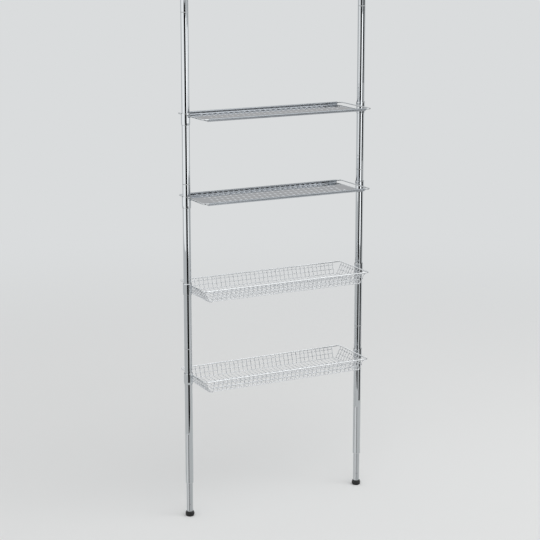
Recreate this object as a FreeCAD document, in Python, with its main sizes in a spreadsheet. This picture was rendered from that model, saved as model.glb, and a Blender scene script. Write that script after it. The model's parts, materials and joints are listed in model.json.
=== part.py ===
import FreeCAD, Part
import Sketcher
import math
import os

# Tension pole shelf unit. Two sprung poles stand between floor and ceiling and
# carry two sheet metal shelves and two wire baskets, which slide up and down
# the poles on split sleeves.
#
# Frame: the origin is on the floor midway between the poles. X runs along the
# shelves, +Y points to the back, +Z is up. Lengths are millimetres.

driving = {
    # poles, made of four tube sections
    "poleHalfSpacing": 354.0,     # pole axis from the middle of the unit
    "poleRadius": 14.0,
    "poleWall": 1.2,
    "poleFoot": 129.5,            # mouth of the lower tube above the floor
    "lowerTube": 507.25,
    "middleTube": 598.5,
    "upperTube": 598.5,
    "topTube": 580.25,
    "fit": 0.05,                  # radial, wherever one part slides in another
    "connectorFlange": 2.5,       # ring left between two sections
    "connectorInset": 0.2,        # the ring is this much slimmer than the pole
    "connectorPlug": 45.0,
    "connectorWall": 1.6,
    # legs that telescope in the lower tubes
    "legRadius": 11.5,
    "legWall": 1.2,
    "legTop": 320.0,              # top of the leg tube above the floor
    "bush": 30.0,
    "bushLip": 1.2,
    "plugFlange": 3.0,
    "plugDepth": 22.0,
    "springNose": 6.0,            # height of the pegs that centre the spring
    "springNoseGap": 0.35,
    "springRadius": 8.6,          # to the middle of the wire
    "springWire": 1.25,           # radius of the wire
    "springPitch": 13.0,
    "springLength": 205.0,
    "stopThickness": 6.0,
    # snap button
    "buttonHeight": 46.0,
    "buttonTurn": 18.0,           # degrees that the button faces off the front
    "buttonRadius": 2.3,
    "buttonHoleGap": 0.2,
    "buttonProud": 0.9,
    "buttonDome": 0.7,
    "buttonSeat": 1.0,            # flange from the inside of the leg tube
    "buttonFlange": 1.0,
    "buttonFlangeRadius": 3.6,
    "clipGauge": 0.5,
    "clipWidth": 5.2,
    "clipSeat": 0.7,              # arms from the inside of the leg tube
    "clipDrop": 24.0,
    "clipTipGap": 0.3,
    # rubber foot and ceiling cap
    "footRadius": 16.5,
    "footSole": 12.5,             # radius of the face on the floor
    "footMouth": 13.6,            # radius of the top edge
    "footHeight": 18.0,
    "footFloor": 5.0,
    "footBelly": 8.5,             # height at which the foot is widest
    "capRadius": 19.0,
    "capPad": 18.5,               # rubber between tube end and ceiling
    "capSkirt": 10.0,
    "capRound": 3.0,
    # heights of the rim wires above the floor
    "upperShelfHeight": 1477.0,
    "lowerShelfHeight": 1182.0,
    "upperBasketHeight": 867.5,
    "lowerBasketHeight": 534.5,
    # collars and split sleeves
    "collarRadius": 16.3,
    "collarBelow": 28.0,          # below the middle of the rim wire
    "collarAbove": 13.0,
    "collarTaper": 7.0,
    "collarTaperIn": 0.9,
    "collarBevel": 2.5,
    "collarBevelIn": 0.9,
    "sleeveWall": 0.75,
    "sleeveSlit": 1.5,
    "sleeveShows": 1.0,           # below the collar
    "sleeveHeight": 39.0,
    # rim wire
    "rimWire": 2.5,               # radius
    "rimHalfDepth": 106.0,
    "rimCorner": 10.0,
    "weldBite": 0.4,              # how deep crossing wires melt together
    "weldGap": 0.02,
    # sheet shelf, hemmed over the rim wire
    "sheet": 0.8,
    "sheetDrop": 7.0,             # tray floor below the middle of the rim wire
    "sheetEndGap": 21.0,          # end of the sheet to the end wire
    "hemDrop": 3.2,
    "hemGap": 0.1,
    # wire basket
    "meshWire": 1.25,             # radius
    "meshPitch": 17.5,
    "footRun": 3.0,               # least straight run of an end wire along the floor
    "meshTop": 1.0,               # wire ends above the middle of the rim wire
    "meshBend": 8.0,
    "basketDepth": 44.0,
    "sideLean": 17.5,             # degrees that front and back lean in
    "endLean": 28.0,
    "endPitch": 17.5,
    "cornerGap": 5.0,             # least room between the last end wire and the rim's corner
    "rodDrop": 9.0,               # first long wire below the rim wire
    "rodPitch": 15.5,
    "rodCount": 3,
    "rodOverhang": 3.0,
    "floorRodPitch": 42.0,
    "floorRodCount": 3,
}

document = FreeCAD.newDocument("tension_pole_shelf_unit")
spreadsheet = document.addObject("Spreadsheet::Sheet", "Sizes")
for row, (alias, number) in enumerate(driving.items(), start=1):
    spreadsheet.set(f"A{row}", alias)
    spreadsheet.set(f"B{row}", str(number))
    spreadsheet.setAlias(f"B{row}", alias)
document.recompute()

Vector = FreeCAD.Vector
upward = Vector(0, 0, 1)
left = -1
right = 1
back = 1
front = -1
subParts = []


class Size:
    """A length or angle: its number, and the expression that reads it from the sheet."""

    def __init__(self, number, text):
        self.number = number
        self.text = text

    def __add__(self, other):
        other = asSize(other)
        return Size(self.number + other.number, f"({self.text} + {other.text})")

    def __sub__(self, other):
        other = asSize(other)
        return Size(self.number - other.number, f"({self.text} - {other.text})")

    def __rsub__(self, other):
        return asSize(other) - self

    def __mul__(self, other):
        other = asSize(other)
        return Size(self.number * other.number, f"({self.text} * {other.text})")

    def __truediv__(self, other):
        other = asSize(other)
        return Size(self.number / other.number, f"({self.text} / {other.text})")

    def __neg__(self):
        return Size(-self.number, f"(-1 * {self.text})")

    __radd__ = __add__
    __rmul__ = __mul__


def asSize(value):
    return value if isinstance(value, Size) else Size(value, f"({value})")


def sine(angle):
    return Size(math.sin(math.radians(angle.number)), f"sin({angle.text})")


def cosine(angle):
    return Size(math.cos(math.radians(angle.number)), f"cos({angle.text})")


def tangent(angle):
    return Size(math.tan(math.radians(angle.number)), f"tan({angle.text})")


class Sizes:
    """The cells of the sheet, each under its own name."""

    def __init__(self):
        for alias in driving:
            setattr(self, alias, Size(spreadsheet.get(alias), "Sizes." + alias))


size = Sizes()


def bind(item, name, value):
    item.setExpression(name, value.text)


# ------------------------------------------------------------- making shapes

def newBody(label):
    body = document.addObject("PartDesign::Body", label)
    body.Label = label
    body.AllowCompound = True
    subParts.append(body)
    return body


def place(item, x=None, z=None, turn=None):
    """Stand a sub-part at x and z, turned by an angle about the vertical."""
    base = Vector(asSize(x or 0).number, 0, asSize(z or 0).number)
    angle = asSize(turn or 0)
    item.Placement = FreeCAD.Placement(base, FreeCAD.Rotation(upward, angle.number))
    if x is not None:
        bind(item, "Placement.Base.x", x)
    if z is not None:
        bind(item, "Placement.Base.z", z)
    if turn is not None:
        bind(item, "Placement.Rotation.Angle", turn)


def originPart(body, role):
    return next(part for part in body.Origin.OriginFeatures if part.Role == role)


def newSketch(body, name, role, offset=None):
    """Sketch on a plane of the body's origin, moved along its normal by the offset."""
    sketch = body.newObject("Sketcher::SketchObject", f"{body.Name}_{name}")
    sketch.AttachmentSupport = [(originPart(body, role), "")]
    sketch.MapMode = "FlatFace"
    if offset is not None:
        moved = Vector(0, 0, offset.number)
        sketch.AttachmentOffset = FreeCAD.Placement(moved, FreeCAD.Rotation())
        bind(sketch, "AttachmentOffset.Base.z", offset)
    return sketch


def pin(sketch, geometry, point, direction, value):
    """Hold one point at a distance from the sketch's origin along one direction."""
    value = asSize(value)
    if abs(value.number) < 1e-9:
        axis = -2 if direction == "DistanceX" else -1
        sketch.addConstraint(Sketcher.Constraint("PointOnObject", geometry, point, axis))
        return
    if value.number > 0:
        ends = (-1, 1, geometry, point)
    else:
        ends = (geometry, point, -1, 1)
        value = -value
    index = sketch.addConstraint(Sketcher.Constraint(direction, *ends, value.number))
    bind(sketch, f"Constraints[{index}]", value)


def addCircle(sketch, u, v, radius):
    u = asSize(u)
    v = asSize(v)
    circle = Part.Circle(Vector(u.number, v.number, 0), upward, radius.number)
    index = sketch.addGeometry(circle)
    pin(sketch, index, 3, "DistanceX", u)
    pin(sketch, index, 3, "DistanceY", v)
    datum = sketch.addConstraint(Sketcher.Constraint("Radius", index, radius.number))
    bind(sketch, f"Constraints[{datum}]", radius)


def arcBetween(start, end, radius, turn):
    """Short arc from start to end; turn is 1 counter-clockwise and -1 clockwise."""
    chord = end - start
    rise = math.sqrt(radius ** 2 - (chord.Length / 2) ** 2)
    leftward = Vector(-chord.y, chord.x, 0).normalize()
    centre = (start + end) / 2 + leftward * rise * turn
    ends = (start, end) if turn > 0 else (end, start)
    angles = [math.atan2(point.y - centre.y, point.x - centre.x) for point in ends]
    return Part.ArcOfCircle(Part.Circle(centre, upward, radius), *angles)


def addPath(sketch, corners, arcs=None, closed=True):
    """Sides through the corners; arcs gives (radius, turn) for sides that are round."""
    arcs = arcs or {}
    corners = [(asSize(u), asSize(v)) for u, v in corners]
    points = [Vector(u.number, v.number, 0) for u, v in corners]
    sides = len(points) if closed else len(points) - 1
    first = sketch.GeometryCount
    ends = []
    for side in range(sides):
        start = points[side]
        end = points[(side + 1) % len(points)]
        if side in arcs:
            radius, turn = arcs[side]
            sketch.addGeometry(arcBetween(start, end, radius.number, turn))
            ends.append((1, 2) if turn > 0 else (2, 1))
        else:
            sketch.addGeometry(Part.LineSegment(start, end))
            ends.append((1, 2))
    joints = sides if closed else sides - 1
    for side in range(joints):
        following = (side + 1) % sides
        sketch.addConstraint(Sketcher.Constraint(
            "Coincident", first + side, ends[side][1], first + following, ends[following][0]))
    for side in range(sides):
        pin(sketch, first + side, ends[side][0], "DistanceX", corners[side][0])
        pin(sketch, first + side, ends[side][0], "DistanceY", corners[side][1])
    if not closed:
        pin(sketch, first + sides - 1, ends[-1][1], "DistanceX", corners[-1][0])
        pin(sketch, first + sides - 1, ends[-1][1], "DistanceY", corners[-1][1])
    for side, (radius, turn) in arcs.items():
        datum = sketch.addConstraint(
            Sketcher.Constraint("Radius", first + side, radius.number))
        bind(sketch, f"Constraints[{datum}]", radius)


def finish(body, feature):
    body.Tip = feature
    document.recompute()
    return feature


def pad(body, sketch, length, midplane=False):
    feature = body.newObject("PartDesign::Pad", sketch.Name + "_pad")
    feature.Profile = sketch
    feature.Length = length.number
    bind(feature, "Length", length)
    feature.Midplane = midplane
    feature.Refine = False
    return finish(body, feature)


def pocket(body, sketch, length, midplane=False, reverse=False):
    before = body.Shape.Volume
    feature = body.newObject("PartDesign::Pocket", sketch.Name + "_pocket")
    feature.Profile = sketch
    feature.Length = length.number
    bind(feature, "Length", length)
    feature.Midplane = midplane
    feature.Reversed = reverse
    finish(body, feature)
    if body.Shape.Volume >= before:
        raise RuntimeError(f"{feature.Name} cuts nothing")


def turned(label, outlines, axis="XZ_Plane", arcs=None):
    """Body turned from outlines of radius and height about the sketch's upright axis."""
    body = newBody(label)
    sketch = newSketch(body, "outline", axis)
    for corners in outlines:
        addPath(sketch, corners, arcs)
    document.recompute()
    feature = body.newObject("PartDesign::Revolution", f"{label}_turning")
    feature.Profile = sketch
    feature.ReferenceAxis = (sketch, ["V_Axis"])
    feature.Angle = 360
    finish(body, feature)
    return body


def tube(label, radius, wall, length):
    body = newBody(label)
    sketch = newSketch(body, "section", "XY_Plane")
    addCircle(sketch, 0, 0, radius)
    addCircle(sketch, 0, 0, radius - wall)
    pad(body, sketch, length)
    return body


def roundRim(body, radius, along, roundness):
    """Fillet the round edges of one radius at one place along the turning axis."""
    base = body.Tip
    names = []
    for index, edge in enumerate(base.Shape.Edges, start=1):
        if not isinstance(edge.Curve, Part.Circle):
            continue
        centre = edge.Curve.Center
        offAxis = abs(centre.y + centre.z - along.number)
        if abs(edge.Curve.Radius - radius.number) < 0.01 and offAxis < 0.01:
            names.append(f"Edge{index}")
    feature = body.newObject("PartDesign::Fillet", f"{body.Name}_round")
    feature.Base = (base, names)
    feature.Radius = roundness.number
    bind(feature, "Radius", roundness)
    finish(body, feature)


def sweep(body, path, section):
    feature = body.newObject("PartDesign::AdditivePipe", f"{path.Name}_sweep")
    feature.Profile = section
    feature.Spine = path
    feature.Refine = False
    return finish(body, feature)


def repeat(body, feature, role, pitch, count):
    pattern = body.newObject("PartDesign::LinearPattern", f"{feature.Name}_row")
    pattern.Originals = [feature]
    pattern.Direction = (originPart(body, role), [""])
    span = pitch * (count - 1)
    pattern.Length = span.number
    bind(pattern, "Length", span)
    pattern.Occurrences = int(count.number)
    bind(pattern, "Occurrences", count)
    pattern.Refine = False
    finish(body, pattern)


# --------------------------------------------------------------------- poles

boreRadius = size.poleRadius - size.poleWall
plugRadius = boreRadius - size.fit
ring = size.connectorFlange
tubeStarts = [size.poleFoot]
for section in (size.lowerTube, size.middleTube, size.upperTube):
    tubeStarts.append(tubeStarts[-1] + section + ring)
poleTop = tubeStarts[-1] + size.topTube
springFoot = size.legTop + size.plugFlange
springTop = springFoot + size.springLength
noseRadius = size.springRadius - size.springWire - size.springNoseGap


def tubeSections(name, x):
    lengths = (size.lowerTube, size.middleTube, size.upperTube, size.topTube)
    sectionNames = ("lower", "middle", "upper", "top")
    for section, start, length in zip(sectionNames, tubeStarts, lengths):
        body = tube(f"{name}_{section}_tube", size.poleRadius, size.poleWall, length)
        place(body, x, start)


def tubeConnectors(name, x):
    """Three plugs that join the sections, each with a ring between two tubes."""
    bore = plugRadius - size.connectorWall
    rim = size.poleRadius - size.connectorInset
    outlines = []
    for start in tubeStarts[1:]:
        end = start - ring
        outlines.append([
            (bore, end - size.connectorPlug),
            (plugRadius, end - size.connectorPlug),
            (plugRadius, end),
            (rim, end),
            (rim, start),
            (plugRadius, start),
            (plugRadius, start + size.connectorPlug),
            (bore, start + size.connectorPlug),
        ])
    place(turned(f"{name}_tube_connectors", outlines), x)


def legBush(name, x):
    bore = size.legRadius + size.fit
    outline = [
        (bore, -size.bushLip),
        (size.poleRadius, -size.bushLip),
        (size.poleRadius, 0),
        (plugRadius, 0),
        (plugRadius, size.bush),
        (bore, size.bush),
    ]
    place(turned(f"{name}_leg_bush", [outline]), x, size.poleFoot)


def springStop(name, x):
    """Disc fixed in the lower tube, with a peg that centres the spring."""
    outline = [
        (0, -size.springNose),
        (noseRadius, -size.springNose),
        (noseRadius, 0),
        (plugRadius, 0),
        (plugRadius, size.stopThickness),
        (0, size.stopThickness),
    ]
    place(turned(f"{name}_spring_stop", [outline]), x, springTop)


def ceilingCap(name, x):
    socket = size.poleRadius + size.fit
    outline = [
        (0, 0),
        (socket, 0),
        (socket, -size.capSkirt),
        (size.capRadius, -size.capSkirt),
        (size.capRadius, size.capPad),
        (0, size.capPad),
    ]
    body = turned(f"{name}_ceiling_cap", [outline])
    roundRim(body, size.capRadius, -size.capSkirt, size.capRound)
    place(body, x, poleTop)


# ---------------------------------------------------------------------- legs

legBore = size.legRadius - size.legWall
buttonAxis = size.buttonHeight - size.footFloor


def legTube(name, x):
    """Telescoping tube with the hole of the snap button low in its front."""
    body = tube(f"{name}_leg_tube", size.legRadius, size.legWall,
                size.legTop - size.footFloor)
    hole = newSketch(body, "hole", "XZ_Plane")
    addCircle(hole, 0, buttonAxis, size.buttonRadius + size.buttonHoleGap)
    document.recompute()
    pocket(body, hole, size.legRadius + size.legWall, reverse=True)
    place(body, x, size.footFloor, -size.buttonTurn)


def rubberFoot(name, x):
    socket = size.legRadius + size.fit
    outline = [
        (0, 0),
        (size.footSole, 0),
        (size.footRadius, size.footBelly),
        (size.footMouth, size.footHeight),
        (socket, size.footHeight),
        (socket, size.footFloor),
        (0, size.footFloor),
    ]
    lowerRound = bulge(size.footRadius - size.footSole, size.footBelly)
    upperRound = bulge(size.footRadius - size.footMouth,
                       size.footHeight - size.footBelly)
    body = turned(f"{name}_rubber_foot", [outline],
                  arcs={1: (lowerRound, 1), 2: (upperRound, 1)})
    place(body, x)


def bulge(reach, height):
    """Radius of the arc that is upright where it is widest."""
    return (reach * reach + height * height) / (reach * 2)


def springPlug(name, x):
    """Plug in the top of the leg: its flange guides the leg and carries the spring."""
    plug = legBore - size.fit
    outline = [
        (0, -size.plugDepth),
        (plug, -size.plugDepth),
        (plug, 0),
        (plugRadius, 0),
        (plugRadius, size.plugFlange),
        (noseRadius, size.plugFlange),
        (noseRadius, size.plugFlange + size.springNose),
        (0, size.plugFlange + size.springNose),
    ]
    place(turned(f"{name}_spring_plug", [outline]), x, size.legTop)


def tensionSpring(name, x):
    body = newBody(f"{name}_tension_spring")
    section = newSketch(body, "wire", "XZ_Plane")
    addCircle(section, size.springRadius, size.springWire, size.springWire)
    document.recompute()
    coil = body.newObject("PartDesign::AdditiveHelix", f"{name}_coil")
    coil.Profile = section
    coil.ReferenceAxis = (section, ["V_Axis"])
    coil.Mode = 0
    coil.Pitch = size.springPitch.number
    bind(coil, "Pitch", size.springPitch)
    height = size.springLength - size.springWire * 2
    coil.Height = height.number
    bind(coil, "Height", height)
    finish(body, coil)
    place(body, x, springFoot)


def legButton(name, x):
    """Snap button whose flange sits behind the wall of the leg."""
    flange = size.buttonSeat - legBore
    outline = [
        (0, -size.legRadius - size.buttonProud),
        (size.buttonRadius, -size.legRadius - size.buttonProud),
        (size.buttonRadius, flange),
        (size.buttonFlangeRadius, flange),
        (size.buttonFlangeRadius, flange + size.buttonFlange),
        (0, flange + size.buttonFlange),
    ]
    body = turned(f"{name}_leg_button", [outline], axis="XY_Plane")
    roundRim(body, size.buttonRadius, -size.legRadius - size.buttonProud,
             size.buttonDome)
    place(body, x, size.buttonHeight, -size.buttonTurn)


def buttonClip(name, x):
    """Spring strip bent to a V; its front arm ends just under the button."""
    reach = legBore - size.clipSeat
    tip = -size.buttonFlangeRadius - size.clipTipGap
    body = newBody(f"{name}_button_clip")
    strip = newSketch(body, "strip", "YZ_Plane")
    addPath(strip, [
        (-reach, tip),
        (0, -size.clipDrop),
        (reach, 0),
        (reach - size.clipGauge, 0),
        (0, size.clipGauge * 2 - size.clipDrop),
        (size.clipGauge - reach, tip),
    ])
    pad(body, strip, size.clipWidth, midplane=True)
    place(body, x, size.buttonHeight, -size.buttonTurn)


# -------------------------------------------------------------------- levels

sleeveInner = size.poleRadius + size.fit
sleeveOuter = sleeveInner + size.sleeveWall
collarBore = sleeveOuter + size.fit
rimReach = size.collarRadius + size.rimWire - size.weldBite
rimHalfWidth = size.poleHalfSpacing - rimReach


def collar(level, side, height):
    """Collar with a groove on its inner side, where the rim's end wire is welded."""
    name = "left" if side == left else "right"
    outline = [
        (collarBore, -size.collarBelow),
        (size.collarRadius - size.collarTaperIn, -size.collarBelow),
        (size.collarRadius, size.collarTaper - size.collarBelow),
        (size.collarRadius, size.collarAbove - size.collarBevel),
        (size.collarRadius - size.collarBevelIn, size.collarAbove),
        (collarBore, size.collarAbove),
    ]
    body = turned(f"{level}_{name}_collar", [outline])
    groove = newSketch(body, "groove", "XZ_Plane")
    addCircle(groove, rimReach * -side, 0, size.rimWire + size.weldGap)
    document.recompute()
    pocket(body, groove, size.collarRadius * 2, midplane=True)
    place(body, size.poleHalfSpacing * side, height)


def splitSleeves(level, height):
    """Two half shells round each pole, which the collars push together."""
    body = newBody(f"{level}_split_sleeves")
    shells = newSketch(body, "shells", "XY_Plane")
    for side in (left, right):
        addCircle(shells, size.poleHalfSpacing * side, 0, sleeveOuter)
        addCircle(shells, size.poleHalfSpacing * side, 0, sleeveInner)
    pad(body, shells, size.sleeveHeight)
    slit = newSketch(body, "slit", "XY_Plane")
    endX = size.poleHalfSpacing + size.collarRadius
    halfSlit = size.sleeveSlit / 2
    addPath(slit, [(-endX, -halfSlit), (endX, -halfSlit), (endX, halfSlit), (-endX, halfSlit)])
    document.recompute()
    pocket(body, slit, size.sleeveHeight * 2, midplane=True)
    place(body, z=height - size.collarBelow - size.sleeveShows)


def rimFrame(level, height):
    """Rim wire bent to a rectangle with round corners, closed on itself."""
    body = newBody(f"{level}_frame")
    path = newSketch(body, "path", "XY_Plane")
    x = rimHalfWidth
    y = size.rimHalfDepth
    r = size.rimCorner
    corners = [
        (r - x, -y), (x - r, -y), (x, r - y), (x, y - r),
        (x - r, y), (r - x, y), (-x, y - r), (-x, r - y),
    ]
    addPath(path, corners, arcs={side: (r, 1) for side in (1, 3, 5, 7)})
    section = newSketch(body, "section", "YZ_Plane")
    addCircle(section, -y, 0, size.rimWire)
    document.recompute()
    sweep(body, path, section)
    place(body, z=height)


def shelfPanel(level, height):
    """Sheet tray whose front and back edges are rolled over the rim wire."""
    c = size.rimHalfDepth
    near = size.rimWire + size.hemGap
    far = near + size.sheet
    floor = -size.sheetDrop
    hem = -size.hemDrop
    backHem = [
        (c - near, floor - size.sheet), (c - near, 0), (c, near), (c + near, 0),
        (c + near, hem), (c + far, hem), (c + far, 0), (c, far), (c - far, 0),
        (c - far, floor),
    ]
    frontHem = [(-y, z) for y, z in reversed(backHem)]
    arcs = {1: (near, -1), 2: (near, -1), 6: (far, 1), 7: (far, 1)}
    last = 2 * len(backHem) - 2
    arcs.update({last - side: bend for side, bend in list(arcs.items())})
    body = newBody(f"{level}_panel")
    profile = newSketch(body, "profile", "YZ_Plane")
    addPath(profile, backHem + frontHem, arcs)
    pad(body, profile, (rimHalfWidth - size.sheetEndGap) * 2, midplane=True)
    place(body, z=height)


# ------------------------------------------------------------- basket meshes

rodOffset = size.meshWire * 2 - size.weldBite
wireFit = size.meshWire + size.weldGap
floorZ = -size.basketDepth


class LeaningWall:
    """Section of a mesh wall: distance out from the middle, and height."""

    def __init__(self, rim, lean):
        self.lean = lean
        self.atRim = rim - (size.rimWire + wireFit) / cosine(lean)
        bend = size.meshBend * tangent(45 - lean / 2)
        corner = self.out(floorZ)
        self.top = (self.out(size.meshTop), size.meshTop)
        self.bendTop = (corner + bend * sine(lean), floorZ + bend * cosine(lean))
        self.bendEnd = (corner - bend, floorZ)

    def out(self, z):
        return self.atRim + z * tangent(self.lean)

    def rod(self, number):
        """Centre of a long wire, welded to the outside of the wall."""
        z = -(size.rodDrop + size.rodPitch * number)
        return (self.out(z) + rodOffset * cosine(self.lean),
                z - rodOffset * sine(self.lean))


def wiresWithin(room, pitch):
    """Number of wires in a row: one in the middle, the rest a pitch apart to each side."""
    return Size(2 * math.floor(room.number / pitch.number) + 1,
                f"(2 * floor({room.text} / {pitch.text}) + 1)")


sideWall = LeaningWall(size.rimHalfDepth, size.sideLean)
endWall = LeaningWall(rimHalfWidth, size.endLean)
meshCount = wiresWithin(endWall.bendEnd[0] - wireFit - size.footRun, size.meshPitch)
endCount = wiresWithin(size.rimHalfDepth - size.rimCorner - size.cornerGap, size.endPitch)
firstWire = size.meshPitch * (meshCount - 1) / 2
firstUpright = size.endPitch * (endCount - 1) / 2


def meshWall(label, wall, side, frame, first, pitch, count, foot=None):
    """Mesh wall: long wires first, then one bent wire repeated along them."""
    along, across, row, alongSign = frame
    body = newBody(label)
    rods = newSketch(body, "rods", along)
    for number in range(int(size.rodCount.number)):
        out, z = wall.rod(number)
        addCircle(rods, out * side, z, size.meshWire)
    pad(body, rods, (first + size.rodOverhang) * 2, midplane=True)
    corners = [wall.bendEnd, wall.bendTop, wall.top]
    if foot is not None:
        corners.insert(0, (foot, floorZ))
    path = newSketch(body, "path", along, first * -alongSign)
    addPath(path, [(out * side, z) for out, z in corners],
            arcs={len(corners) - 3: (size.meshBend, side)}, closed=False)
    section = newSketch(body, "wire", across, corners[0][0] * (side * -alongSign))
    addCircle(section, -first, floorZ, size.meshWire)
    document.recompute()
    repeat(body, sweep(body, path, section), row, pitch, count)
    return body


def bottomMesh(label, halfDepth):
    body = newBody(label)
    rods = newSketch(body, "rods", "YZ_Plane")
    firstRod = size.floorRodPitch * (size.floorRodCount - 1) / 2
    for number in range(int(size.floorRodCount.number)):
        addCircle(rods, size.floorRodPitch * number - firstRod, floorZ - rodOffset,
                  size.meshWire)
    pad(body, rods, (firstWire + size.rodOverhang) * 2, midplane=True)
    cross = newSketch(body, "cross", "XZ_Plane")
    addCircle(cross, -firstWire, floorZ, size.meshWire)
    wire = pad(body, cross, halfDepth * 2, midplane=True)
    repeat(body, wire, "X_Axis", size.meshPitch, meshCount)
    return body


def basketMeshes(level, height):
    """Five mesh panels hung inside the rim wire; the corners between them are open."""
    sideFrame = ("YZ_Plane", "XZ_Plane", "X_Axis", 1)
    endFrame = ("XZ_Plane", "YZ_Plane", "Y_Axis", -1)
    foot = firstWire + wireFit
    bodies = [bottomMesh(f"{level}_bottom_grid", sideWall.bendEnd[0])]
    for name, side in (("front", front), ("back", back)):
        bodies.append(meshWall(f"{level}_{name}_grid", sideWall, side, sideFrame,
                               firstWire, size.meshPitch, meshCount))
    for name, side in (("left_end", left), ("right_end", right)):
        bodies.append(meshWall(f"{level}_{name}_grid", endWall, side, endFrame,
                               firstUpright, size.endPitch, endCount, foot))
    for body in bodies:
        place(body, z=height)
    return bodies


def sameAt(body, label, drop):
    """The same sub-part once more, lower down the poles."""
    copy = document.addObject("Part::Compound", label)
    copy.Label = label
    copy.Links = [body]
    document.recompute()
    place(copy, z=-drop)
    subParts.append(copy)


# ---------------------------------------------------------------- whole unit

for name, side in (("left", left), ("right", right)):
    x = size.poleHalfSpacing * side
    tubeSections(name, x)
    tubeConnectors(name, x)
    legBush(name, x)
    springStop(name, x)
    ceilingCap(name, x)
    legTube(name, x)
    rubberFoot(name, x)
    springPlug(name, x)
    tensionSpring(name, x)
    legButton(name, x)
    buttonClip(name, x)

levels = {
    "upper_shelf": size.upperShelfHeight,
    "lower_shelf": size.lowerShelfHeight,
    "upper_basket": size.upperBasketHeight,
    "lower_basket": size.lowerBasketHeight,
}
for level, height in levels.items():
    rimFrame(level, height)
    collar(level, left, height)
    collar(level, right, height)
    splitSleeves(level, height)
    if level.endswith("shelf"):
        shelfPanel(level, height)

basketStep = size.upperBasketHeight - size.lowerBasketHeight
for mesh in basketMeshes("upper_basket", size.upperBasketHeight):
    sameAt(mesh, mesh.Label.replace("upper", "lower"), basketStep)

document.recompute()
for item in document.Objects:
    if "Invalid" in item.State or "Error" in item.State:
        raise RuntimeError(f"{item.Label} failed: {item.State}")
for part in subParts:
    if part.Shape.isNull() or not part.Shape.isValid() or not part.Shape.Solids:
        raise RuntimeError(f"{part.Label} has no valid solid")

os.makedirs("parts", exist_ok=True)
for part in subParts:
    part.Shape.exportStep(f"parts/{part.Label}.step")
    print(part.Label, len(part.Shape.Solids), round(part.Shape.Volume, 1))
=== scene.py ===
# Tension pole shelf unit: two sprung chrome poles, two embossed sheet shelves
# and two wire baskets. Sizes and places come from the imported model.
import json
import math

import bmesh
import bpy
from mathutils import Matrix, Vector

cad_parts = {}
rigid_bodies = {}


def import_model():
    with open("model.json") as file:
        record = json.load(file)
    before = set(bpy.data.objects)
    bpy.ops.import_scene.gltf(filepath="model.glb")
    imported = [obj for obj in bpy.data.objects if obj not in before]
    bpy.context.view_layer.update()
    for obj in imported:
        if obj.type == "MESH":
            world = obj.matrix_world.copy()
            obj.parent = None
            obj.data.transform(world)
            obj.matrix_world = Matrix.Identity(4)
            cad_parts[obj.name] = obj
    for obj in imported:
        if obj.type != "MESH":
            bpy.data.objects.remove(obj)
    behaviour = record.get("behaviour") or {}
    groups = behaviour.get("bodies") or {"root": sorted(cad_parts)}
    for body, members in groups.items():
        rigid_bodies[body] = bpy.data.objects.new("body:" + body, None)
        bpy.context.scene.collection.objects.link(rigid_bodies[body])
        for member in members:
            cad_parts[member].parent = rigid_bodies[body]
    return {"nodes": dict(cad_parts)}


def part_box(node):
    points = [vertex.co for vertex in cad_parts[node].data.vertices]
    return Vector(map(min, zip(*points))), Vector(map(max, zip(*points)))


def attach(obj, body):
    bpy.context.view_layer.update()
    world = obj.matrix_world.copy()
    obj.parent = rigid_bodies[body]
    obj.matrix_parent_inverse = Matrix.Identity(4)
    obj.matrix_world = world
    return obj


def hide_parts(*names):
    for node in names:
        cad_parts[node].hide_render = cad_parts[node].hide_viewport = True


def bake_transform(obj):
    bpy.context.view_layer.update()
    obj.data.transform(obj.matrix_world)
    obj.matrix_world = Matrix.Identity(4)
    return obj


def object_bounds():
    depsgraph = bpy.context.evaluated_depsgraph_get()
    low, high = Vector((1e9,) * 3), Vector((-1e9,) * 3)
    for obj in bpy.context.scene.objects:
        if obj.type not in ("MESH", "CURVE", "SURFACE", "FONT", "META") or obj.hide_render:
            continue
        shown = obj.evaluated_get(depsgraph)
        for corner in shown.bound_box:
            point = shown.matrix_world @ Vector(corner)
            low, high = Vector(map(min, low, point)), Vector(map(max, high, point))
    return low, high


# An empty scene first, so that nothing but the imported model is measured
for item in list(bpy.data.objects):
    bpy.data.objects.remove(item)

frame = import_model()
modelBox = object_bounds()
print("frame loaded:", len(frame["nodes"]), "nodes")

mm = 0.001
creaseAngle = math.radians(50)      # edges sharper than this stay crisp


def srgb(hexText):
    parts = [int(hexText[i:i + 2], 16) / 255 for i in (1, 3, 5)]
    linear = [p / 12.92 if p <= 0.04045 else ((p + 0.055) / 1.055) ** 2.4 for p in parts]
    return (*linear, 1.0)


def addNode(tree, kind, inputs=None, **settings):
    node = tree.nodes.new("ShaderNode" + kind)
    for name, value in settings.items():
        setattr(node, name, value)
    for name, value in (inputs or {}).items():
        if isinstance(value, bpy.types.NodeSocket):
            tree.links.new(value, node.inputs[name])
        else:
            node.inputs[name].default_value = value
    return node


def startMaterial(name):
    material = bpy.data.materials.new(name)
    material.use_nodes = True
    material.node_tree.nodes.clear()
    return material, material.node_tree


def grainNoise(tree, grain, detail, roughness=0.5):
    # Noise in metres of the object, turned into grain lengths in mm along each axis
    spot = addNode(tree, "TexCoord").outputs["Object"]
    scale = [1 / (length * mm) for length in grain]
    place = addNode(tree, "Mapping", {"Vector": spot, "Scale": scale})
    noise = addNode(tree, "TexNoise", {
        "Vector": place.outputs["Vector"], "Scale": 1.0,
        "Detail": detail, "Roughness": roughness})
    return noise.outputs["Fac"]


def addPiece(name, data):
    piece = bpy.data.objects.new(name, data)
    bpy.context.scene.collection.objects.link(piece)
    return piece


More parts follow.
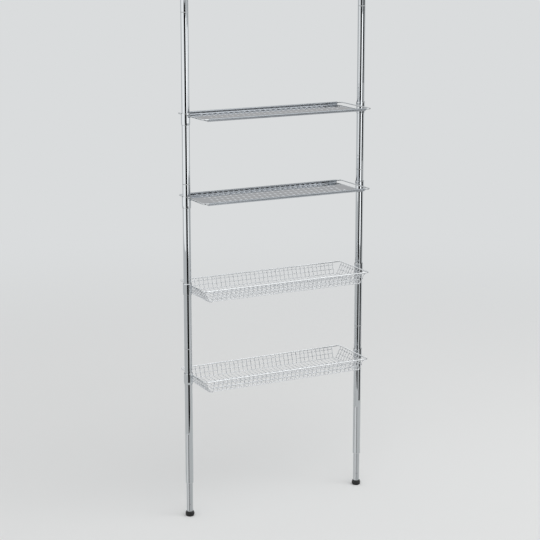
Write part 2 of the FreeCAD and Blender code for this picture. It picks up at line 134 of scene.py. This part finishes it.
# Chrome plate. Chromium reflects about 0.6 of the light, a little less of the red,
# so it reads darker and cooler than silver. The finishes differ in how the steel
# under the plate was worked, and two carry painted light: the hem plate is darker
# as painted shade and the basket rim brighter as painted reflection.
def chromePlate(name, look):
    material, tree = startMaterial(name)
    grain = grainNoise(tree, look["grain"], 3.0, 0.55)
    haze = grainNoise(tree, look["haze"], 2.0)
    plate = addNode(tree, "Mix", {
        0: haze, 6: srgb(look["tint"]), 7: srgb(look["colour"])}, data_type="RGBA")
    film = addNode(tree, "Math", {0: haze, 1: grain}, operation="MULTIPLY")
    rough = addNode(tree, "MapRange", {
        "Value": film.outputs[0], "From Min": 0.12, "From Max": 0.42,
        "To Min": look["roughLow"], "To Max": look["roughHigh"]})
    relief = addNode(tree, "Bump", {
        "Height": grain, "Strength": 1.0, "Distance": look["relief"] * mm})
    shader = addNode(tree, "BsdfPrincipled", {
        "Base Color": plate.outputs[2], "Metallic": 1.0,
        "Roughness": rough.outputs["Result"], "Normal": relief.outputs["Normal"]})
    addNode(tree, "OutputMaterial", {"Surface": shader.outputs[0]})
    return material


# Drawn tube, buffed along its length: clean bright and dark stripes with the
# faintest lines running up the pole
poleTube = {"colour": "#CACDCF", "tint": "#C4C8CB", "grain": (2.0, 2.0, 120),
            "haze": (45, 45, 160), "roughLow": 0.03, "roughHigh": 0.07, "relief": 0.002}
# The leg slides in the pole, so its plate is rubbed a touch duller
legTube = {"colour": "#C6C9CB", "tint": "#BFC3C6", "grain": (1.0, 1.0, 55),
           "haze": (30, 30, 90), "roughLow": 0.055, "roughHigh": 0.12, "relief": 0.004}
# Bent rim wire, barrel buffed: small soft unevenness that breaks the highlights
rimWire = {"colour": "#C3C6C8", "tint": "#BABEC1", "grain": (2.2, 2.2, 2.2),
           "haze": (28, 28, 28), "roughLow": 0.07, "roughHigh": 0.14, "relief": 0.012}
# Basket rim, plated together with its mesh: a plate with soft edges, brighter than the rim
# wire as painted reflection for the bright line along the front rims
basketRimPaintedReflection = {"colour": "#DDDFE1", "tint": "#D5D8DA", "grain": (2.2, 2.2, 2.2),
             "haze": (28, 28, 28), "roughLow": 0.08, "roughHigh": 0.16, "relief": 0.012}
# Thin welded mesh wire, plated in one go after welding: bright but satin
meshWire = {"colour": "#DADCDE", "tint": "#D0D3D6", "grain": (1.6, 1.6, 1.6),
            "haze": (22, 22, 22), "roughLow": 0.2, "roughHigh": 0.3, "relief": 0.012}
# Turned collar, polished on the lathe: fine rings round it
turnedCollar = {"colour": "#CBCED0", "tint": "#C4C8CB", "grain": (14, 14, 0.5),
                "haze": (20, 20, 20), "roughLow": 0.03, "roughHigh": 0.08,
                "relief": 0.003}
# Rolled, embossed and plated sheet: long rolling lines and a slight cloudiness
embossedSheet = {"colour": "#BEC2C6", "tint": "#AFB4BA", "grain": (35, 0.9, 0.9),
                 "haze": (60, 22, 22), "roughLow": 0.04, "roughHigh": 0.08,
                 "relief": 0.002}
# Sheet stretched round the rim wire: a rougher plate, darker grey as painted shade for the
# dark band along the lip
rolledHemPaintedShade = {"colour": "#94989C", "tint": "#898E93", "grain": (45, 0.8, 0.8),
             "haze": (60, 22, 22), "roughLow": 0.2, "roughHigh": 0.32, "relief": 0.004}


# Bare steel, whose working marks turn the colour, the gloss and the relief together
def workedSteel(name, look):
    material, tree = startMaterial(name)
    marks = grainNoise(tree, look["grain"], 4.0, 0.6)
    colour = addNode(tree, "Mix", {
        0: marks, 6: srgb(look["shade"]), 7: srgb(look["colour"])}, data_type="RGBA")
    rough = addNode(tree, "MapRange", {
        "Value": marks, "From Min": 0.3, "From Max": 0.7,
        "To Min": look["roughLow"], "To Max": look["roughHigh"]})
    relief = addNode(tree, "Bump", {"Height": marks, "Distance": look["relief"] * mm})
    shader = addNode(tree, "BsdfPrincipled", {
        "Base Color": colour.outputs[2], "Metallic": 1.0,
        "Roughness": rough.outputs["Result"], "Normal": relief.outputs["Normal"]})
    addNode(tree, "OutputMaterial", {"Surface": shader.outputs[0]})
    return material


# Oiled drawn spring wire: dark satin grey with fine drawing marks
springWire = {"colour": "#97999B", "shade": "#737577", "grain": (0.6, 0.6, 0.6),
              "roughLow": 0.26, "roughHigh": 0.42, "relief": 0.01}
# Turned button, tumbled smooth: bright with a soft edge to its reflections
buttonSteel = {"colour": "#B9BBBD", "shade": "#A4A6A8", "grain": (0.5, 0.5, 0.5),
               "roughLow": 0.16, "roughHigh": 0.26, "relief": 0.004}


# Moulded nylon and rubber: a fine skin from the tool, and a slow change of shade
def moulded(name, look):
    material, tree = startMaterial(name)
    skin = grainNoise(tree, look["grain"], 3.0, 0.6)
    cloud = grainNoise(tree, look["cloud"], 2.0)
    colour = addNode(tree, "Mix", {
        0: cloud, 6: srgb(look["shade"]), 7: srgb(look["colour"])}, data_type="RGBA")
    rough = addNode(tree, "MapRange", {
        "Value": skin, "From Min": 0.3, "From Max": 0.7,
        "To Min": look["roughLow"], "To Max": look["roughHigh"]})
    relief = addNode(tree, "Bump", {"Height": skin, "Distance": look["relief"] * mm})
    shader = addNode(tree, "BsdfPrincipled", {
        "Base Color": colour.outputs[2], "IOR": look["ior"],
        "Roughness": rough.outputs["Result"], "Normal": relief.outputs["Normal"]})
    addNode(tree, "OutputMaterial", {"Surface": shader.outputs[0]})
    return material


# Sleeve nylon from a matt tool: even satin with a dry bloom
sleeveNylon = {"colour": "#B6B9BB", "shade": "#A9ACAE", "grain": (0.5, 0.5, 0.5),
               "cloud": (9, 9, 9), "ior": 1.53, "roughLow": 0.4, "roughHigh": 0.52,
               "relief": 0.015}
# Bush nylon, paler and rubbed smoother by the leg that slides in it
bushNylon = {"colour": "#C6C8C9", "shade": "#B9BBBC", "grain": (0.6, 0.6, 0.6),
             "cloud": (12, 12, 12), "ior": 1.53, "roughLow": 0.34, "roughHigh": 0.46,
             "relief": 0.012}
# Connector nylon, a shade darker: shows as the thin ring between two tubes
connectorNylon = {"colour": "#B2B4B5", "shade": "#A6A8A9", "grain": (0.6, 0.6, 0.6),
                  "cloud": (12, 12, 12), "ior": 1.53, "roughLow": 0.38,
                  "roughHigh": 0.5, "relief": 0.012}
# Compression moulded rubber: near black with a fine matt skin
mouldedRubber = {"colour": "#111112", "shade": "#0B0B0C", "grain": (0.45, 0.45, 0.45),
                 "cloud": (5, 5, 5), "ior": 1.52, "roughLow": 0.45, "roughHigh": 0.66,
                 "relief": 0.03}

finishes = {
    "chrome_pole": chromePlate("buffed chrome plate on drawn tube", poleTube),
    "chrome_leg": chromePlate("rubbed chrome plate on leg tube", legTube),
    "chrome_wire": chromePlate("barrel buffed chrome on rim wire", rimWire),
    # The basket rim plate is brighter than the rim wire as painted reflection
    "chrome_basket_rim_painted_reflection": chromePlate("chrome on basket rim brightened as painted reflection", basketRimPaintedReflection),
    "chrome_mesh": chromePlate("satin chrome on welded mesh", meshWire),
    "chrome_collar": chromePlate("lathe polished chrome collar", turnedCollar),
    "chrome_sheet": chromePlate("chrome on rolled embossed sheet", embossedSheet),
    # The hem plate is darker grey as painted shade along the lip
    "sheet_hem_painted_shade": chromePlate("chrome on hem darkened as painted shade", rolledHemPaintedShade),
    "spring_steel": workedSteel("oiled drawn spring wire", springWire),
    "button_steel": workedSteel("tumbled turned steel", buttonSteel),
    "sleeve_plastic": moulded("moulded sleeve nylon", sleeveNylon),
    "bush_plastic": moulded("moulded bush nylon", bushNylon),
    "connector_plastic": moulded("moulded connector nylon", connectorNylon),
    "black_rubber": moulded("compression moulded rubber", mouldedRubber),
}

# The end of a node's name tells its finish
finishOf = {
    "lower_tube": "chrome_pole", "middle_tube": "chrome_pole",
    "upper_tube": "chrome_pole", "top_tube": "chrome_pole", "leg_tube": "chrome_leg",
    "basket_frame": "chrome_basket_rim_painted_reflection", "shelf_frame": "chrome_wire",
    "_grid": "chrome_mesh", "_collar": "chrome_collar", "_panel": "chrome_sheet",
    "tension_spring": "spring_steel", "button_clip": "spring_steel",
    "leg_button": "button_steel", "split_sleeves": "sleeve_plastic",
    "leg_bush": "bush_plastic", "spring_plug": "bush_plastic",
    "spring_stop": "bush_plastic", "tube_connectors": "connector_plastic",
    "rubber_foot": "black_rubber", "ceiling_cap": "black_rubber",
}

for nodeName, piece in frame["nodes"].items():
    slot = next(slot for ending, slot in finishOf.items() if nodeName.endswith(ending))
    for place in piece.material_slots:
        place.material = finishes[slot]
print("finishes:", len(finishes))


def dress(piece, slot):
    piece.data.materials.clear()
    piece.data.materials.append(finishes[slot])


# Embossed shelf panels, in mm
shelfPanel = {
    "wireAxis": 106.0,      # middle of the rim wire that the hems roll over
    "rollRadius": 3.0,      # to the middle of the sheet
    "rollSteps": 12,
    "sheet": 0.8,
    "hemDrop": 3.2,         # the outer flange hangs this far below the wire's middle
    "floorDrop": 7.4,       # middle of the floor sheet
    "wallBreak": 0.4,       # share of the floor's drop where the inner wall has a row
    "bendRadius": 1.4,      # where the floor turns up into the hem
    "bendSteps": 5,
    # Drops are pressed into the sheet in staggered rows, drawn as high as they need
    # to be to show from a few metres off
    "dropHeight": 0.9,
    "dropPitch": (21.3, 82.0),      # along a row, and over two rows
    "dropReach": (5.0, 17.0),       # half width and half length of a drop
    "plainEnd": 46.0,       # flat margin at each end
    "plainEdge": 1.0,       # flat margin beside the hems
    "fade": 4.0,            # over which the drops rise from a flat margin
    "step": 1.3,            # mesh spacing on the floor
    "slack": 0.1,           # the hem's darker plate, which is painted shade, begins this far outside the wall
}


def panelSection(look):
    # Middle line of the sheet from the back flange to the front one: (y, z)
    c, r, b = look["wireAxis"], look["rollRadius"], look["bendRadius"]
    wall, floor = c - r, -look["floorDrop"]
    half = [(c + r, -look["hemDrop"]), (c + r, -look["hemDrop"] / 2)]
    for k in range(look["rollSteps"] + 1):
        a = math.pi * k / look["rollSteps"]
        half.append((c + r * math.cos(a), r * math.sin(a)))
    half.append((wall, floor * look["wallBreak"]))
    for k in range(look["bendSteps"] + 1):
        a = -math.pi / 2 * k / look["bendSteps"]
        half.append((wall - b + b * math.cos(a), floor + b + b * math.sin(a)))
    run = wall - b
    count = round(run / look["step"])
    half += [(run * (1 - k / count), floor) for k in range(1, count)]
    return half + [(0.0, floor)] + [(-y, z) for y, z in reversed(half)]


def sectionNormals(section):
    normals = []
    for k in range(len(section)):
        before = section[max(k - 1, 0)]
        after = section[min(k + 1, len(section) - 1)]
        along = Vector((after[0] - before[0], after[1] - before[1])).normalized()
        normals.append((along.y, -along.x))
    return normals


def smoothStep(value):
    t = min(max(value, 0.0), 1.0)
    return t * t * (3 - 2 * t)


def embossing(look, x, y, halfLength, halfDepth):
    # Height of the pressed drops, faded out towards the flat margins
    height = 0.0
    for stagger in (0.0, 0.5):
        off = [value / pitch - stagger for value, pitch in zip((x, y), look["dropPitch"])]
        off = [(part - round(part)) * pitch for part, pitch in zip(off, look["dropPitch"])]
        spread = sum((part / reach) ** 2 for part, reach in zip(off, look["dropReach"]))
        height += max(1 - spread, 0.0) ** 2
    fadeEnd = smoothStep((halfLength - look["plainEnd"] - abs(x)) / look["fade"])
    fadeEdge = smoothStep((halfDepth - look["plainEdge"] - abs(y)) / look["fade"])
    return look["dropHeight"] * height * fadeEnd * fadeEdge


def panelPoints(look, section, halfLength, wireZ, columns):
    # The upper side of the sheet, then the lower side, column by column along X
    halfDepth = look["wireAxis"] - look["rollRadius"]
    halfSheet = look["sheet"] / 2
    normals = sectionNormals(section)
    points = []
    for side in (1, -1):
        for i in range(columns + 1):
            x = -halfLength + 2 * halfLength * i / columns
            for (y, z), (ny, nz) in zip(section, normals):
                lift = 0.0
                if math.isclose(z, -look["floorDrop"], abs_tol=0.01):
                    lift = embossing(look, x, y, halfLength, halfDepth)
                points.append((x * mm, (y + side * ny * halfSheet) * mm,
                               (wireZ + z + side * nz * halfSheet + lift) * mm))
    return points


def panelFaces(look, section, columns):
    # Also tells which faces lie on the rolled hems
    rows = len(section)
    under = (columns + 1) * rows
    hemStart = look["wireAxis"] - look["rollRadius"] + look["slack"]
    faces = []
    onHem = []
    for i in range(columns):
        for k in range(rows - 1):
            a = i * rows + k
            quad = (a, a + rows, a + rows + 1, a + 1)
            faces.append(quad)
            faces.append(tuple(v + under for v in reversed(quad)))
            rolled = abs(section[k][0] + section[k + 1][0]) / 2 > hemStart
            onHem += [rolled, rolled]
    for i in range(columns):        # thin edges of the two flanges
        for k, flip in ((0, False), (rows - 1, True)):
            a = i * rows + k
            edge = (a, a + under, a + rows + under, a + rows)
            faces.append(edge[::-1] if flip else edge)
    for k in range(rows - 1):       # thin edges of the two ends
        for i, flip in ((0, True), (columns, False)):
            a = i * rows + k
            edge = (a, a + under, a + 1 + under, a + 1)
            faces.append(edge[::-1] if flip else edge)
    return faces, onHem


def makePanel(level):
    node = level + "_panel"
    low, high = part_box(node)
    halfLength = (high.x - low.x) / 2 / mm
    wireZ = high.z / mm - shelfPanel["rollRadius"] - shelfPanel["sheet"] / 2
    columns = round(2 * halfLength / shelfPanel["step"])
    section = panelSection(shelfPanel)
    points = panelPoints(shelfPanel, section, halfLength, wireZ, columns)
    faces, onHem = panelFaces(shelfPanel, section, columns)
    mesh = bpy.data.meshes.new(level + "_embossed_panel")
    mesh.from_pydata(points, [], faces)
    outward = bmesh.new()
    outward.from_mesh(mesh)
    bmesh.ops.recalc_face_normals(outward, faces=outward.faces)
    for face in outward.faces:
        face.smooth = True
    outward.to_mesh(mesh)
    outward.free()
    mesh.set_sharp_from_angle(angle=creaseAngle)
    panel = addPiece(level + "_embossed_panel", mesh)
    dress(panel, "chrome_sheet")
    # Faces on the hems take the darker plate, painted shade along the lip
    mesh.materials.append(finishes["sheet_hem_painted_shade"])
    for face, hem in zip(mesh.polygons, onHem):
        face.material_index = int(hem)
    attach(panel, level)
    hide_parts(node)
    return panel


for level in ("upper_shelf", "lower_shelf"):
    panel = makePanel(level)
    print("panel:", panel.name, len(panel.data.polygons), "faces")


# Tension springs, in mm. The imported spring is stiff and rides on the leg. This one has
# the same coil, its upper end at the stop in the pole, and it is not tied to the leg.
tensionSpring = {
    "coilRadius": 8.6,      # to the middle of the wire
    "wireRadius": 1.25,
    "pitch": 13.0,
    "seated": 6.5,          # each end stays on its peg for this long
    "turnSteps": 40,
    "wireSides": 14,
}


def springCoil(look, axis, foot, top):
    # Rings of points round a helix, and the faces between them and over both ends
    radius, wire, sides = look["coilRadius"], look["wireRadius"], look["wireSides"]
    steps = round((top - foot) / look["pitch"] * look["turnSteps"])
    rise = look["pitch"] / (2 * math.pi)
    points = []
    for k in range(steps + 1):
        turned = (top - foot) * k / steps / rise
        outward = Vector((math.cos(turned), math.sin(turned), 0))
        along = Vector((-radius * outward.y, radius * outward.x, rise)).normalized()
        across = along.cross(outward)
        centre = Vector((axis.x, axis.y, foot + rise * turned)) + radius * outward
        for q in range(sides):
            a = 2 * math.pi * q / sides
            ring = math.cos(a) * outward + math.sin(a) * across
            points.append((centre + wire * ring) * mm)
    faces = [tuple(reversed(range(sides))), tuple(steps * sides + q for q in range(sides))]
    for k in range(steps):
        for q in range(sides):
            a, b = k * sides + q, k * sides + (q + 1) % sides
            faces.append((a, b, b + sides, a + sides))
    return points, faces


def makeSpring(side):
    look = tensionSpring
    node = side + "_tension_spring"
    low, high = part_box(node)
    poleLow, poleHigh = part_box(side + "_lower_tube")
    axis = (poleLow + poleHigh) / 2 / mm
    wire = look["wireRadius"]
    foot, top = low.z / mm + wire, high.z / mm - wire
    points, faces = springCoil(look, axis, foot, top)
    mesh = bpy.data.meshes.new(side + "_coiled_spring")
    mesh.from_pydata(points, [], faces)
    for face in mesh.polygons:
        face.use_smooth = True
    mesh.set_sharp_from_angle(angle=creaseAngle)
    spring = addPiece(side + "_coiled_spring", mesh)
    dress(spring, "spring_steel")
    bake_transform(spring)
    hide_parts(node)
    return spring


for side in ("left", "right"):
    spring = makeSpring(side)
    print("spring:", spring.name, len(spring.data.polygons), "faces")


# Cards and flags that only polished metal sees, so that the round poles show bright
# and dark stripes. Each stands between two points of the plan, from one height to the
# other, in metres, and a leaning one has its own plan for the upper edge. Glow is how
# bright the metal sees it.
cards = {
    "left_card": {"plan": ((-1.15, 0.45), (-0.80, -0.36)), "heights": (0.88, 2.8),
                  "glow": 1.3},
    "camera_flag": {"plan": ((-0.92, -0.79), (-0.02, -1.21)), "heights": (0.0, 1.75),
                    "topPlan": ((-1.66, -1.47), (-0.18, -2.16)), "glow": 0.004},
    "camera_flag_top": {"plan": ((-2.20, -1.48), (0.10, -2.55)), "heights": (2.2, 4.6),
                        "topPlan": ((-2.70, -2.10), (0.20, -3.45)), "glow": 0.3},
    "front_card": {"plan": ((-0.10, -3.00), (1.00, -3.00)), "heights": (0.30, 1.6),
                   "glow": 2.2},
    "far_card": {"plan": ((0.00, -12.00), (12.00, -12.00)), "heights": (4.05, 7.5),
                 "glow": 1.1},
    "far_flag": {"plan": ((-1.00, -12.00), (13.00, -12.00)), "heights": (2.7, 4.05),
                 "glow": 0.03},
    "low_flag": {"plan": ((1.00, -3.00), (2.15, -3.00)), "heights": (0.45, 1.15),
                 "glow": 0.5},
    "right_card": {"plan": ((1.75, -2.25), (2.70, -0.90)), "heights": (0.75, 1.55),
                   "glow": 1.5},
    "left_foot_card": {"plan": ((-0.424, 0.010), (-0.418, -0.028)),
                       "heights": (0.0, 0.3), "glow": 0.95},
    "left_foot_flag": {"plan": ((-0.406, -0.040), (-0.380, -0.061)),
                       "heights": (0.0, 0.3), "glow": 0.36},
    "right_foot_card": {"plan": ((0.285, -0.008), (0.303, -0.047)),
                        "heights": (0.0, 0.3), "glow": 0.95},
    "right_foot_flag": {"plan": ((0.312, -0.050), (0.332, -0.062)),
                        "heights": (0.0, 0.3), "glow": 0.36},
}

# The flag beside the right pole is black, but paler just above each shelf, whose
# sheet would otherwise mirror it as a black patch
rightFlag = {
    "plan": ((0.402, -0.144), (0.489, -0.067)),
    "parts": {"low": (0.3, 1.174, 0.01), "at_lower_shelf": (1.174, 1.25, 0.3),
              "middle": (1.25, 1.469, 0.01), "at_upper_shelf": (1.469, 1.545, 0.3),
              "high": (1.545, 2.44, 0.01)},
}
for part, (low, high, strength) in rightFlag["parts"].items():
    cards["right_flag_" + part] = {
        "plan": rightFlag["plan"], "heights": (low, high), "glow": strength}


def glow(name, strength):
    material, tree = startMaterial(name)
    light = addNode(tree, "Emission", {"Color": srgb("#FFFFFF"), "Strength": strength})
    addNode(tree, "OutputMaterial", {"Surface": light.outputs[0]})
    material.cycles.emission_sampling = "NONE"
    return material


for name, look in cards.items():
    foot, head = look["plan"], look.get("topPlan", look["plan"])
    low, high = look["heights"]
    corners = [(*foot[0], low), (*foot[1], low), (*head[1], high), (*head[0], high)]
    mesh = bpy.data.meshes.new(name)
    mesh.from_pydata(corners, [], [(0, 1, 2, 3)])
    mesh.materials.append(glow(name, look["glow"]))
    card = addPiece(name, mesh)
    card.visible_camera = False
    card.visible_diffuse = False
    card.visible_transmission = False
    card.visible_volume_scatter = False
    card.visible_shadow = False
print("cards:", len(cards))

studio = {
    "background": "#DADCDD",
    "floor": "#E4E5E5",
    "floorRadius": 60.0,
    "floorSides": 96,
    "fadeFrom": 1.2,        # metres from the unit where the floor starts to melt away
    "fadeTo": 5.0,          # and where it has become the background
    "ambient": 0.74,
    "wallFoot": 0.5,        # how bright the metal sees the room's wall at eye level
    "wallTop": 1.2,
    "wallFrom": 0.14,       # sines of the height above level where the wall starts to
    "wallTopAt": 0.42,      # brighten and where it ends
    "ceiling": 1.15,        # how bright the metal sees the room overhead
    "ceilingAt": 0.75,      # sine of the height where the ceiling's brightness is full
    "overhead": {"spot": (0.4, -1.9, 3.9), "size": (4.4, 2.8), "power": 48.0,
                 "inMetal": True},      # whether the metal mirrors the lamp
    "fill": {"spot": (3.2, -2.4, 3.0), "size": (2.2, 2.2), "power": 14.0,
             "inMetal": False},
}


def paleFloor():
    # Painted studio floor: dead matt, and it melts into the background further out
    material, tree = startMaterial("pale studio floor")
    spot = addNode(tree, "NewGeometry").outputs["Position"]
    distance = addNode(tree, "VectorMath", {0: spot}, operation="LENGTH")
    fade = addNode(tree, "MapRange", {
        "Value": distance.outputs["Value"], "From Min": studio["fadeFrom"],
        "From Max": studio["fadeTo"]}, interpolation_type="SMOOTHSTEP")
    matt = addNode(tree, "BsdfDiffuse", {
        "Color": srgb(studio["floor"]), "Roughness": 0.6})
    far = addNode(tree, "Emission", {"Color": srgb(studio["background"]), "Strength": 1.0})
    shade = addNode(tree, "MixShader", {
        0: fade.outputs["Result"], 1: matt.outputs[0], 2: far.outputs[0]})
    addNode(tree, "OutputMaterial", {"Surface": shade.outputs[0]})
    material.cycles.emission_sampling = "NONE"
    return material


floorMesh = bpy.data.meshes.new("floor")
disc = bmesh.new()
bmesh.ops.create_circle(disc, cap_ends=True, segments=studio["floorSides"],
                        radius=studio["floorRadius"])
disc.to_mesh(floorMesh)
disc.free()
floorMesh.materials.append(paleFloor())
addPiece("floor", floorMesh)

# The object is lit by an even pale sky, and the camera sees the backdrop
world = bpy.data.worlds.new("studio")
bpy.context.scene.world = world
world.use_nodes = True
tree = world.node_tree
tree.nodes.clear()
rays = addNode(tree, "LightPath")
seen = addNode(tree, "Math", {
    0: rays.outputs["Is Camera Ray"], 1: rays.outputs["Is Transmission Ray"]},
    operation="MAXIMUM")
ambient = addNode(tree, "Background", {
    "Color": srgb("#FFFFFF"), "Strength": studio["ambient"]})
backdrop = addNode(tree, "Background", {
    "Color": srgb(studio["background"]), "Strength": 1.0})
sky = addNode(tree, "MixShader", {
    0: seen.outputs[0], 1: ambient.outputs[0], 2: backdrop.outputs[0]})
# Polished metal sees a room instead: a wall that pales upward, then the ceiling
towards = addNode(tree, "TexCoord").outputs["Generated"]
height = addNode(tree, "SeparateXYZ", {"Vector": towards}).outputs["Z"]
wall = addNode(tree, "MapRange", {
    "Value": height, "From Min": studio["wallFrom"], "From Max": studio["wallTopAt"],
    "To Min": studio["wallFoot"], "To Max": studio["wallTop"]},
    interpolation_type="SMOOTHSTEP")
ceiling = addNode(tree, "MapRange", {
    "Value": height, "From Min": studio["wallTopAt"], "From Max": studio["ceilingAt"],
    "To Min": 0.0, "To Max": studio["ceiling"] - studio["wallTop"]},
    interpolation_type="SMOOTHSTEP")
room = addNode(tree, "Math", {0: wall.outputs["Result"], 1: ceiling.outputs["Result"]})
roomSeen = addNode(tree, "Background", {
    "Color": srgb("#FFFFFF"), "Strength": room.outputs[0]})
sky = addNode(tree, "MixShader", {
    0: rays.outputs["Is Glossy Ray"], 1: sky.outputs[0], 2: roomSeen.outputs[0]})
addNode(tree, "OutputWorld", {"Surface": sky.outputs[0]})

middle = (modelBox[0] + modelBox[1]) / 2
for name in ("overhead", "fill"):
    look = studio[name]
    lamp = bpy.data.lights.new(name, "AREA")
    lamp.shape = "RECTANGLE"
    lamp.size, lamp.size_y = look["size"]
    lamp.energy = look["power"]
    light = addPiece(name, lamp)
    light.location = look["spot"]
    light.visible_glossy = look["inMetal"]
    light.rotation_mode = "QUATERNION"
    light.rotation_quaternion = (middle - light.location).to_track_quat("-Z", "Y")
print("studio ready")

view = {
    "spot": (-2.689, -5.139, 2.236),
    "turn": 27.43,      # degrees from +Y towards +X
    "down": 12.49,      # degrees below level
    "lens": 108.25,     # mm on the sensor's width
    "sensor": 36.0,
    "shift": -0.03,
    "farthest": 200.0,  # metres, past the edge of the floor
}

turn, down = math.radians(view["turn"]), math.radians(view["down"])
ahead = Vector((math.sin(turn) * math.cos(down), math.cos(turn) * math.cos(down),
                -math.sin(down)))
lens = bpy.data.cameras.new("camera")
lens.lens = view["lens"]
lens.sensor_width = view["sensor"]
lens.shift_y = view["shift"]
lens.clip_end = view["farthest"]
camera = addPiece("camera", lens)
camera.location = view["spot"]
camera.rotation_mode = "QUATERNION"
camera.rotation_quaternion = ahead.to_track_quat("-Z", "Y")
bpy.context.scene.camera = camera
bpy.context.scene.view_settings.view_transform = "Standard"
print("camera ready")
